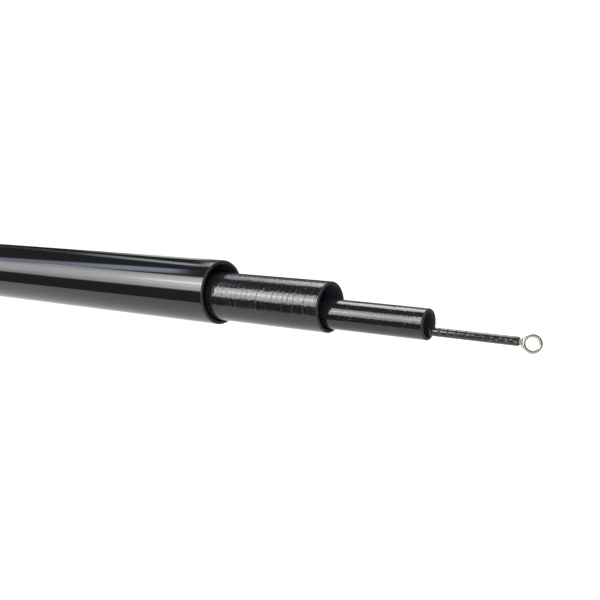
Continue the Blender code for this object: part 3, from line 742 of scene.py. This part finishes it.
def frameParts(ring, neck, stemAxis):
    # the frame's wires, which still overlap: a stem, two arms that leave it at the spread angle and touch the
    # ring's outside, a thin web between them, and a thicker run of brazing on the ring
    look = ringFrame
    reach = (ring["start"] - neck) / mm
    distance = np.linalg.norm(reach)
    outward = reach / distance
    facing = ring["axis"]
    side = np.cross(facing, outward)
    ringRadius = ring["ring"] / mm
    follow = ringRadius + ring["wire"] / mm - look["armRadius"]
    start = look["armStart"]
    spread = math.asin(follow / (distance - start))
    around = look["around"]

    def inPlane(along, across):
        return np.outer(along, outward) + np.outer(across, side)

    def pointed(radii):
        radii[[0, -1]] = 0.0
        return radii

    first, last = look["stemEnds"]
    stem = np.linspace(first, last, look["stemPoints"])
    stem = np.concatenate([[first - look["stemCap"]], stem, [last + look["stemCap"]]])
    radii = pointed(np.full(stem.size, look["stemRadius"]))
    yield tubeAlong("stem", np.outer(stem, stemAxis), radii, side, around)
    for sign in (1, -1):
        straight = np.linspace(0, (distance - start) * math.cos(spread), look["armPoints"])
        turn = np.radians(np.linspace(90 + math.degrees(spread), look["armEnd"], look["bendPoints"]))[1:]
        along = np.append(start + straight * math.cos(spread), distance + follow * np.cos(turn))
        across = np.append(straight * math.sin(spread), follow * np.sin(turn))
        taper = np.linspace(1, look["armTaper"], turn.size)
        radii = look["armRadius"] * np.append(np.ones(straight.size), taper)
        yield tubeAlong("arm", inPlane(along, sign * across), pointed(radii), facing, around)
    web = np.linspace(look["webStart"], distance - ringRadius, look["webPoints"])
    half = pointed((web - start) * math.tan(spread))
    thick = pointed(np.full(web.size, look["webThickness"] / 2))
    yield tubeAlong("web", inPlane(web, 0 * web), np.stack([half, thick], axis=-1), side, around)
    half = np.linspace(-1, 1, look["brazePoints"])
    turn = np.radians(180 + look["brazeSpan"] * half)
    thinner = (look["brazeRadius"] - look["brazeEndRadius"]) * half ** 2
    braze = inPlane(distance + ringRadius * np.cos(turn), ringRadius * np.sin(turn))
    yield tubeAlong("braze", braze, pointed(look["brazeRadius"] - thinner), facing, around)


def makeRingFrame(ring, neck, stemAxis):
    # the wires are joined into one skin with soft inner corners, and then brought to metres and to the neck
    look = ringFrame
    joined = bmesh.new()
    for part in frameParts(ring, neck, stemAxis):
        joined.from_mesh(part.data)
        bpy.data.objects.remove(part)
    mesh = bpy.data.meshes.new("ringFrameBrazed")
    joined.to_mesh(mesh)
    joined.free()
    item = bpy.data.objects.new("ringFrameBrazed", mesh)
    bpy.context.scene.collection.objects.link(item)
    remesh = item.modifiers.new("skin", "REMESH")
    remesh.mode = "VOXEL"
    remesh.voxel_size = look["voxel"]
    smoothing = item.modifiers.new("soften", "SMOOTH")
    smoothing.factor = 0.5
    smoothing.iterations = look["smoothing"]
    skinned = bpy.data.meshes.new_from_object(item.evaluated_get(bpy.context.evaluated_depsgraph_get()))
    item.modifiers.clear()
    item.data = skinned
    skinned.transform(Matrix.Translation(neck) @ Matrix.Scale(mm, 4))
    skinned.shade_smooth()
    near = neck + (ring["start"] - neck) * look["brazeAt"]
    dress(item, "tip_ring_frame", "frame_steel", wireFinish("frameSteel", look["finish"], near))


def makeTipEnd():
    ring = measureRing("tip_ring")
    wound = measureTurned("tip_whipping")
    makeTipRing(ring, wound["end"])
    makeRingFrame(ring, wound["end"], wound["axis"])


makeTipEnd()
print("tip ring and frame done")


# Screw cap and threaded collar. Their threads are one wave, set apart by a clearance.
thread = {
    "pitch": 1.5 * mm, "depth": 0.70 * mm, "root": 8.74 * mm, "clearance": 0.14 * mm, "step": 0.1 * mm,
    "steepness": 1.6, "fadeIn": (-0.5 * mm, 0.6 * mm), "fadeOut": 0.7 * mm,
}
anodised = {
    "marks": (9000.0, 4.0), "markDepth": 0.004, "markRoughness": 0.08, "cloud": (260.0, 3.0),
    "cloudDepth": 0.002, "cloudRoughness": 0.12, "scuffs": (1400.0, 3.0), "scuffRange": (0.52, 0.66),
    "wornGloss": 0.1,
}
cap = {
    # the outline's stops: number of the CAD's station, from the butt on, and which point of it
    "stops": [(8, "centre"), (8, "inner"), (10, "inner"), (10, "outer"), (9, "outer"), (7, "inner"),
              (7, "outer"), (6, "outer"), (1, "outer"), (0, "outer"), (0, "inner"), (2, "outer"),
              (2, "inner"), (4, "inner"), (4, "centre")],
    "gripStations": (1, 6), "spigotStations": (7, 9), "fluteStations": (3, 5),
    "flutes": 24, "cutter": 1.1 * mm, "ballInset": 0.5 * mm,
    "flutePoints": (0.0, 0.3, 0.58, 0.82, 1.0),    # shares of half a flute's width
    "bend": 0.12 * mm, "step": 0.16 * mm, "gripDepth": 0.3 * mm, "threadEnds": (16.8 * mm, 28.2 * mm),
    "finish": {**anodised, "roughness": 0.30, "wearFrom": 12.35 * mm, "wearTo": 12.6 * mm, "wear": 0.10,
               "dark": (0.040, 0.040, 0.044), "light": (0.062, 0.062, 0.068), "bare": (0.38, 0.38, 0.39)},
}
collar = {
    "stops": [(6, "outer"), (5, "outer"), (4, "inner"), (4, "outer"), (3, "outer"), (1, "outer"),
              (0, "outer"), (0, "inner"), (2, "outer"), (2, "inner"), (6, "inner"), (6, "outer")],
    "flangeStations": (1, 3), "boreStations": (2, 6),
    "around": 144, "bend": 0.10 * mm, "threadEnds": (17.2 * mm, 30.2 * mm),
    "grooves": (15.9 * mm, 16.8 * mm), "grooveWidth": 0.13 * mm, "grooveDepth": 0.10 * mm,
    "grooveStep": 0.05 * mm,
    "finish": {**anodised, "roughness": 0.28, "wearFrom": 12.05 * mm, "wearTo": 12.2 * mm, "wear": 0.12,
               "dark": (0.075, 0.075, 0.080), "light": (0.105, 0.105, 0.112), "bare": (0.42, 0.42, 0.43)},
}
aside = 0.1 * mm    # how far a point of a face may lie from that face's radius


def threadWave(station, angle, ends):
    # a rounded wave with the thread's pitch, one at the crest and nought at the root, that fades at both
    # ends: 0.5 + 0.5 * tanh(s cos p) / tanh(s), p = 2 pi station / pitch - angle, s the steepness
    steepness = thread["steepness"]
    turn = math.tau * station / thread["pitch"] - angle
    wave = 0.5 + 0.5 * np.tanh(steepness * np.cos(turn)) / math.tanh(steepness)
    before, after = thread["fadeIn"]
    near = ease(station, ends[0] + before, ends[0] + after)
    near = near * (1 - ease(station, ends[1] - thread["fadeOut"], ends[1]))
    return wave, near


def makeCap():
    body = measureOnRod("butt_cap")
    stations = body["stations"]
    outer = body["radius"].max()
    spigot = radiiAt(body, stations[cap["spigotStations"][1]])[1]
    shoulder, chamfer = stations[list(cap["spigotStations"])]
    outline = softened(outlineThrough(body, cap["stops"]), cap["bend"])
    outline = finely(outline, stations[list(cap["gripStations"])], cap["step"], (outer - aside, outer))
    outline = finely(outline, (shoulder + cap["bend"], chamfer), thread["step"], (spigot - aside, spigot))

    # the flutes' depth and turn are read from the solid
    fluteFrom, fluteTo = stations[list(cap["fluteStations"])]
    corners = cornersOf("butt_cap")
    away = np.minimum(abs(corners[:, 0] - fluteFrom), abs(corners[:, 0] - fluteTo))
    ends = corners[away < sameStation]
    reach = np.hypot(ends[:, 1], ends[:, 2])
    deepest = ends[np.argmin(reach)]
    phase = math.atan2(deepest[2], deepest[1]) / math.tau
    centre, cutter = reach.min() + cap["cutter"], cap["cutter"]
    edge = math.acos((centre ** 2 + outer ** 2 - cutter ** 2) / (2 * centre * outer)) / math.tau
    pitch = 1 / cap["flutes"]
    share = np.array(cap["flutePoints"]) * edge
    one = np.concatenate([share, np.linspace(edge, pitch - edge, 4)[1:-1], pitch - share[:0:-1]])
    turns = (np.arange(cap["flutes"])[:, None] * pitch + one).ravel() + phase
    turns = np.append(turns, turns[0] + 1)

    def relief(way, station, angle, radius):
        # flutes: the cutter's circle seen from the axis, c cos a - sqrt(R^2 - c^2 sin^2 a), with ball ends
        past = np.maximum(fluteFrom + cap["ballInset"] - station, station - fluteTo + cap["ballInset"])
        ball = np.sqrt(np.maximum(cutter ** 2 - np.maximum(past, 0) ** 2, 0))
        off = (np.mod(angle / math.tau - phase + pitch / 2, pitch) - pitch / 2) * math.tau
        within = ball ** 2 - (centre * np.sin(off)) ** 2
        floor = centre * np.cos(off) - np.sqrt(np.maximum(within, 0))
        onGrip = (within > 0) & (radius > outer - cap["gripDepth"])
        wave, near = threadWave(station, angle, cap["threadEnds"])
        onSpigot = abs(radius - spigot) < aside
        cut = onSpigot * near * (thread["root"] + thread["depth"] * wave - radius)
        return np.where(onGrip, np.minimum(floor - radius, 0), 0) + cut

    item = turnedPiece("screwCap", rodLine, outline, turns, relief)
    dress(item, "butt_cap", "cap_metal", anodisedFinish("capMetal", cap["finish"]))


def makeCollar():
    body = measureOnRod("thread_collar")
    stations = body["stations"]
    outer, bore = body["radius"].max(), body["radius"].min()
    outline = softened(outlineThrough(body, collar["stops"]), collar["bend"])
    outline = finely(outline, stations[list(collar["boreStations"])], thread["step"], (bore, bore + aside))
    outline = finely(outline, stations[list(collar["flangeStations"])], collar["grooveStep"],
                     (outer - aside, outer))

    def relief(way, station, angle, radius):
        # inner thread: the cap's wave plus a clearance; flange: two grooves, depth * exp(-(d/width)^2)
        wave, near = threadWave(station, angle, collar["threadEnds"])
        crest = thread["root"] + thread["clearance"] + thread["depth"] * wave
        grooves = sum(hump(station - at, collar["grooveWidth"]) for at in collar["grooves"])
        onFlange = radius > outer - aside
        return (radius < bore + aside) * near * (crest - radius) - onFlange * collar["grooveDepth"] * grooves

    item = turnedPiece("threadedCollar", rodLine, outline, collar["around"], relief)
    dress(item, "thread_collar", "collar_metal", anodisedFinish("collarMetal", collar["finish"]))


makeCap()
makeCollar()
print("cap and collar done")


# Rubber: the O-ring, the button that the rod stands on, and the soft pad behind the sections.
rubber = {"patches": (180.0, 4.0, 0.6), "patchRange": (0.45, 0.75), "dustRoughness": 0.12}
seal = {
    "around": 144, "sectionAround": 40, "flash": 0.03 * mm, "flashWidth": 0.12,
    "finish": {**rubber, "specular": 0.35, "grain": (2500.0, 3.0, 0.7), "grainDepth": 0.004,
               "dustAmount": 0.35, "dark": (0.011, 0.011, 0.011), "light": (0.019, 0.019, 0.019),
               "dust": (0.05, 0.05, 0.048), "roughness": 0.58},
}
button = {
    "stops": [(0, "centre"), (0, "outer"), (2, "outer"), (3, "outer"), (3, "inner"), (4, "outer"),
              (4, "centre")],
    "around": 128, "bend": 0.15 * mm, "faceRadius": 8.1 * mm, "facePoints": 110,
    "rings": (2.2 * mm, 3.6 * mm, 5.0 * mm, 6.4 * mm), "ringWidth": 0.28 * mm, "ringDepth": 0.3 * mm,
    "finish": {**rubber, "specular": 0.30, "grain": (1800.0, 3.0, 0.7), "grainDepth": 0.012,
               "dustAmount": 0.6, "dark": (0.014, 0.014, 0.014), "light": (0.026, 0.026, 0.026),
               "dust": (0.075, 0.072, 0.066), "roughness": 0.72},
}
pad = {
    "stops": [(4, "centre"), (4, "outer"), (3, "outer"), (2, "outer"), (2, "inner"), (1, "outer"),
              (0, "outer"), (0, "centre")],
    "around": 112, "bend": 0.25 * mm,
    "clearance": 0.06 * mm,    # inside the root of the cap's thread, so that it passes the collar
    "finish": {**rubber, "specular": 0.20, "grain": (1300.0, 3.0, 0.7), "grainDepth": 0.05,
               "dustAmount": 0.4, "dark": (0.030, 0.030, 0.033), "light": (0.070, 0.070, 0.077),
               "dust": (0.10, 0.10, 0.10), "roughness": 0.85},
}


def makeSeal():
    # a round section with the fine flash line of its mould on the inner and outer sides
    ring = measureRing("cap_o_ring")

    def wire(turn):
        return ring["wire"] - seal["flash"] * (1 - hump(np.sin(turn), seal["flashWidth"]))

    item = turnedPiece("sealRing", ring, wireLoop(ring["ring"], wire, seal["sectionAround"]), seal["around"])
    dress(item, "cap_o_ring", "seal_rubber", rubberFinish("sealRubber", seal["finish"]))


def makeButton():
    # the rear face has round grip grooves; they lie along the axis, so the profile itself is bent there:
    # station = depth * exp(-(d/width)^2), summed over the rings
    body = measureOnRod("cap_button")
    outline = softened(outlineThrough(body, button["stops"]), button["bend"])
    face = np.linspace(0, button["faceRadius"], button["facePoints"])
    depth = button["ringDepth"] * sum(hump(face - at, button["ringWidth"]) for at in button["rings"])
    rest = outline[(outline[:, 1] > button["faceRadius"]) | (outline[:, 0] > hair)]
    profile = np.concatenate([np.stack([depth, face], axis=-1), rest])
    item = turnedPiece("standingButton", rodLine, profile, button["around"])
    dress(item, "cap_button", "button_rubber", rubberFinish("buttonRubber", button["finish"]))


def makePad():
    # soft bung that the sections rest against; its disc is slimmer than the solid's
    body = measureOnRod("cap_pad")
    outline = outlineThrough(body, pad["stops"])
    outline[1:4, 1] -= body["radius"].max() - (thread["root"] - pad["clearance"])
    item = turnedPiece("softPad", rodLine, softened(outline, pad["bend"], 5), pad["around"])
    dress(item, "cap_pad", "pad_rubber", rubberFinish("padRubber", pad["finish"]))


makeSeal()
makeButton()
makePad()
print("rubber pieces done")


# Studio: white floor and background, and a dark tent with strips of light that only reflections see.
studio = {
    "floorHeight": -0.20, "floorSize": 60.0, "floorGrey": 0.86,
    "floorGlow": 1.25, "floorGlowShare": 0.75,    # what camera and glossy rays see of the floor
    "worldStrength": 0.75, "worldSeen": 1.05,
    "lampPower": 42.0, "lampSize": (3.0, 1.6), "lampPlace": (0.4, -0.9, 1.7), "lampAim": (0.7, 0.0, 0.0),
    "tentRadius": 0.33, "tentEnds": (-3.5, 5.5), "tentAround": (-34.8, 196.0),
    "lens": 47.046, "sensor": 36.0, "halfPixel": 0.5 / 600,
    "cameraPlace": (1.171590, -0.186260, 0.033626), "cameraTurn": (81.4801, 0.0, 34.1447),
}
white = (1.0, 1.0, 1.0)
slantRound = 0.6    # where along x a slanted strip has its written edges
# Each strip of the tent: its edges in degrees up from the camera's side, softness, the slants of both edges
# in degrees per metre, strength, colour (white if none is given), and its share of the strength along x.
strips = [
    # the main band of the butt tube, then of the sections
    {"low": 7.5, "high": 53.2, "soft": 5.0, "slants": (0.0, 62.0), "strength": 7.5,
     "along": [(0.38, 0.24), (0.42, 0.27), (0.48, 0.38), (0.56, 0.43), (0.585, 0.0)]},
    {"low": 6.0, "high": 53.5, "soft": 5.0, "strength": 7.5,
     "along": [(0.56, 0.0), (0.585, 0.47), (0.673, 0.63), (0.787, 0.95), (0.889, 0.76), (0.93, 0.58),
               (0.937, 0.94), (0.948, 1.0), (0.955, 0.04), (1.0, 0.02), (1.02, 0.0)]},
    # its brighter middle, and the line of light in it
    {"low": 18.0, "high": 44.0, "soft": 14.0, "strength": 4.5,
     "along": [(0.38, 0.20), (0.42, 0.23), (0.48, 0.33), (0.56, 0.36), (0.673, 0.45), (0.787, 0.78),
               (0.889, 0.56), (0.94, 0.46), (0.947, 0.50), (0.955, 0.02), (1.0, 0.0)]},
    {"low": 29.5, "high": 34.0, "soft": 3.0, "strength": 10.6,
     "along": [(0.64, 0.0), (0.68, 0.08), (0.74, 0.58), (0.80, 1.0), (0.87, 0.70), (0.92, 0.40),
               (0.947, 0.25), (0.955, 0.0)]},
    # the rear half of the whipping
    {"low": 24.0, "high": 58.0, "soft": 8.0, "strength": 6.5,
     "along": [(0.93, 0.0), (0.937, 1.0), (0.947, 1.0), (0.955, 0.0)]},
    # two blue bands above the butt tube's main one
    {"low": 52.5, "high": 70.8, "soft": 5.0, "slants": (70.0, 70.0), "strength": 3.7,
     "colour": (0.70, 0.82, 1.0),
     "along": [(0.20, 0.0), (0.40, 0.60), (0.58, 0.58), (0.68, 1.0), (0.733, 1.0), (0.752, 0.0)]},
    {"low": 116.0, "high": 130.5, "soft": 7.0, "slants": (-100.0, -125.0), "strength": 7.2,
     "colour": (0.80, 0.91, 1.0),
     "along": [(0.45, 0.01), (0.585, 0.03), (0.65, 0.19), (0.70, 0.34), (0.747, 0.42), (0.756, 0.0)]},
    # the upper band of the sections, and the light on their top edges
    {"low": 109.5, "high": 130.5, "soft": 10.0, "slants": (-30.0, 0.0), "strength": 7.4,
     "colour": (0.98, 0.99, 1.0),
     "along": [(0.748, 0.0), (0.760, 0.38), (0.80, 0.42), (0.889, 1.0), (1.0, 1.0), (1.03, 0.0)]},
    {"low": 130.5, "high": 160.0, "soft": 8.0, "strength": 0.5, "colour": (1.0, 0.98, 0.76),
     "along": [(0.735, 0.0), (0.75, 0.45), (0.80, 0.45), (0.889, 0.65), (0.95, 1.0), (1.0, 1.0),
               (1.03, 0.0)]},
    # the top edges of the butt tube and of the whipping
    {"low": 146.0, "high": 168.0, "soft": 6.0, "strength": 1.3, "colour": (1.0, 0.99, 0.90),
     "along": [(0.56, 0.0), (0.62, 0.3), (0.69, 1.0), (0.73, 1.0), (0.745, 0.0)]},
    {"low": 135.0, "high": 210.0, "soft": 8.0, "strength": 0.6,
     "along": [(0.925, 0.0), (0.95, 1.0), (1.0, 1.0), (1.05, 0.0)]},
    # the ring's surroundings, in front and behind, and a glint on its lower side
    {"low": -60.0, "high": 35.0, "soft": 14.0, "strength": 0.85, "colour": (1.0, 1.0, 0.96),
     "along": [(1.0, 0.0), (1.02, 1.0), (1.25, 1.0), (1.36, 0.28), (1.9, 0.2), (2.2, 0.1), (2.6, 0.0)]},
    {"low": 35.0, "high": 230.0, "soft": 14.0, "strength": 0.40, "colour": (1.0, 1.0, 0.96),
     "along": [(1.0, 0.0), (1.02, 1.0), (1.2, 1.0), (1.32, 0.35), (2.2, 0.25), (2.6, 0.0)]},
    {"low": -60.0, "high": 14.0, "soft": 6.0, "strength": 2.3, "colour": (1.0, 1.0, 0.98),
     "along": [(1.0, 0.0), (1.01, 1.0), (1.10, 1.0), (1.18, 0.0)]},
]


def makeTent():
    # an arc of a cylinder round the rod: (x, -radius * cos a, radius * sin a)
    x = np.linspace(*studio["tentEnds"], 10)[:, None]
    a = np.radians(np.linspace(*studio["tentAround"], 90))[None, :]
    x, a = np.broadcast_arrays(x, a)
    points = np.stack([x, -studio["tentRadius"] * np.cos(a), studio["tentRadius"] * np.sin(a)], axis=-1)
    tent = gridMesh("lightTent", points, np.stack([x, a], axis=-1))
    finish = Finish("tentLight")
    x, y, z = finish.split(finish.place())
    angle = z.math("ARCTAN2", z, 0 - y) * math.degrees(1)
    light = (0.0, 0.0, 0.0)
    for strip in strips:
        slants = strip.get("slants", (0.0, 0.0))
        low, high = (angle - (x - slantRound) * slant for slant in slants)
        soft = strip["soft"] / 2
        inside = finish.smooth(low, strip["low"] - soft, strip["low"] + soft)
        inside = inside * (1 - finish.smooth(high, strip["high"] - soft, strip["high"] + soft))
        amount = inside * finish.graph(x, strip["along"])
        colour = tuple(strip["strength"] * part for part in strip.get("colour", white))
        light = finish.add("VectorMath", {"operation": "MULTIPLY_ADD"}, {0: colour, 1: amount, 2: light})
    finish.show(finish.add("Emission", None, {"Color": light, "Strength": 1.0}))
    tent.data.materials.append(finish.material)
    for ray in ("camera", "diffuse", "transmission", "volume_scatter", "shadow"):
        setattr(tent, "visible_" + ray, False)


def seenRays(nodes):
    # one for camera, glossy and transmission rays, nought for the rest
    path = nodes.add("LightPath")
    rays = {output.name: Signal(nodes, output) for output in path.socket.node.outputs}
    seen = rays["Is Camera Ray"] + rays["Is Glossy Ray"] + rays["Is Transmission Ray"]
    return seen.math("MINIMUM", seen, 1.0)


def makeFloor():
    # a level square; the rays that see it get a share of white glow, and its grey holds the shadow
    half = studio["floorSize"] / 2
    x, y = np.meshgrid(np.linspace(-half, half, 9), np.linspace(-half, half, 9), indexing="ij")
    points = np.stack([x, y, np.full_like(x, studio["floorHeight"])], axis=-1)
    floor = gridMesh("paleFloor", points, np.stack([x, y], axis=-1))
    if floor.data.polygons[0].normal.z < 0:
        floor.data.flip_normals()
    grey = (*(studio["floorGrey"],) * 3, 1.0)
    finish = Finish("floorWhite", Roughness=1.0, Specular_IOR_Level=0.0, Base_Color=grey)
    glow = finish.add("Emission", None, {"Color": (*white, 1.0), "Strength": studio["floorGlow"]})
    share = seenRays(finish) * studio["floorGlowShare"]
    matt = Signal(finish, finish.shader.outputs[0])
    finish.show(finish.add("MixShader", None, {0: share, 1: matt, 2: glow}))
    floor.data.materials.append(finish.material)


def makeWorld():
    world = bpy.data.worlds.new("whiteRoom")
    bpy.context.scene.world = world
    world.use_nodes = True
    nodes = Nodes(world.node_tree)
    background = world.node_tree.nodes["Background"]
    background.inputs["Color"].default_value = (*white, 1.0)
    more = studio["worldSeen"] - studio["worldStrength"]
    nodes.connect(seenRays(nodes) * more + studio["worldStrength"], background.inputs["Strength"])


def makeLamp():
    lamp = bpy.data.lights.new("softLamp", "AREA")
    lamp.shape = "RECTANGLE"
    lamp.size, lamp.size_y = studio["lampSize"]
    lamp.energy = studio["lampPower"]
    item = bpy.data.objects.new("softLamp", lamp)
    bpy.context.scene.collection.objects.link(item)
    item.location = studio["lampPlace"]
    item.rotation_euler = (Vector(studio["lampAim"]) - item.location).to_track_quat("-Z", "Y").to_euler()
    item.visible_glossy = False


def makeCamera():
    # fitted to the tubes' edges and mouths in the photograph; the shift goes from pixel numbers to centres
    camera = bpy.data.cameras.new("camera")
    camera.lens, camera.sensor_width = studio["lens"], studio["sensor"]
    camera.shift_x, camera.shift_y = -studio["halfPixel"], studio["halfPixel"]
    camera.clip_start, camera.clip_end = 0.005, 100.0
    item = bpy.data.objects.new("camera", camera)
    bpy.context.scene.collection.objects.link(item)
    item.location = studio["cameraPlace"]
    item.rotation_euler = [math.radians(turn) for turn in studio["cameraTurn"]]
    bpy.context.scene.camera = item


makeTent()
makeFloor()
makeWorld()
makeLamp()
makeCamera()
bpy.context.scene.view_settings.view_transform = "Standard"
print("studio done")
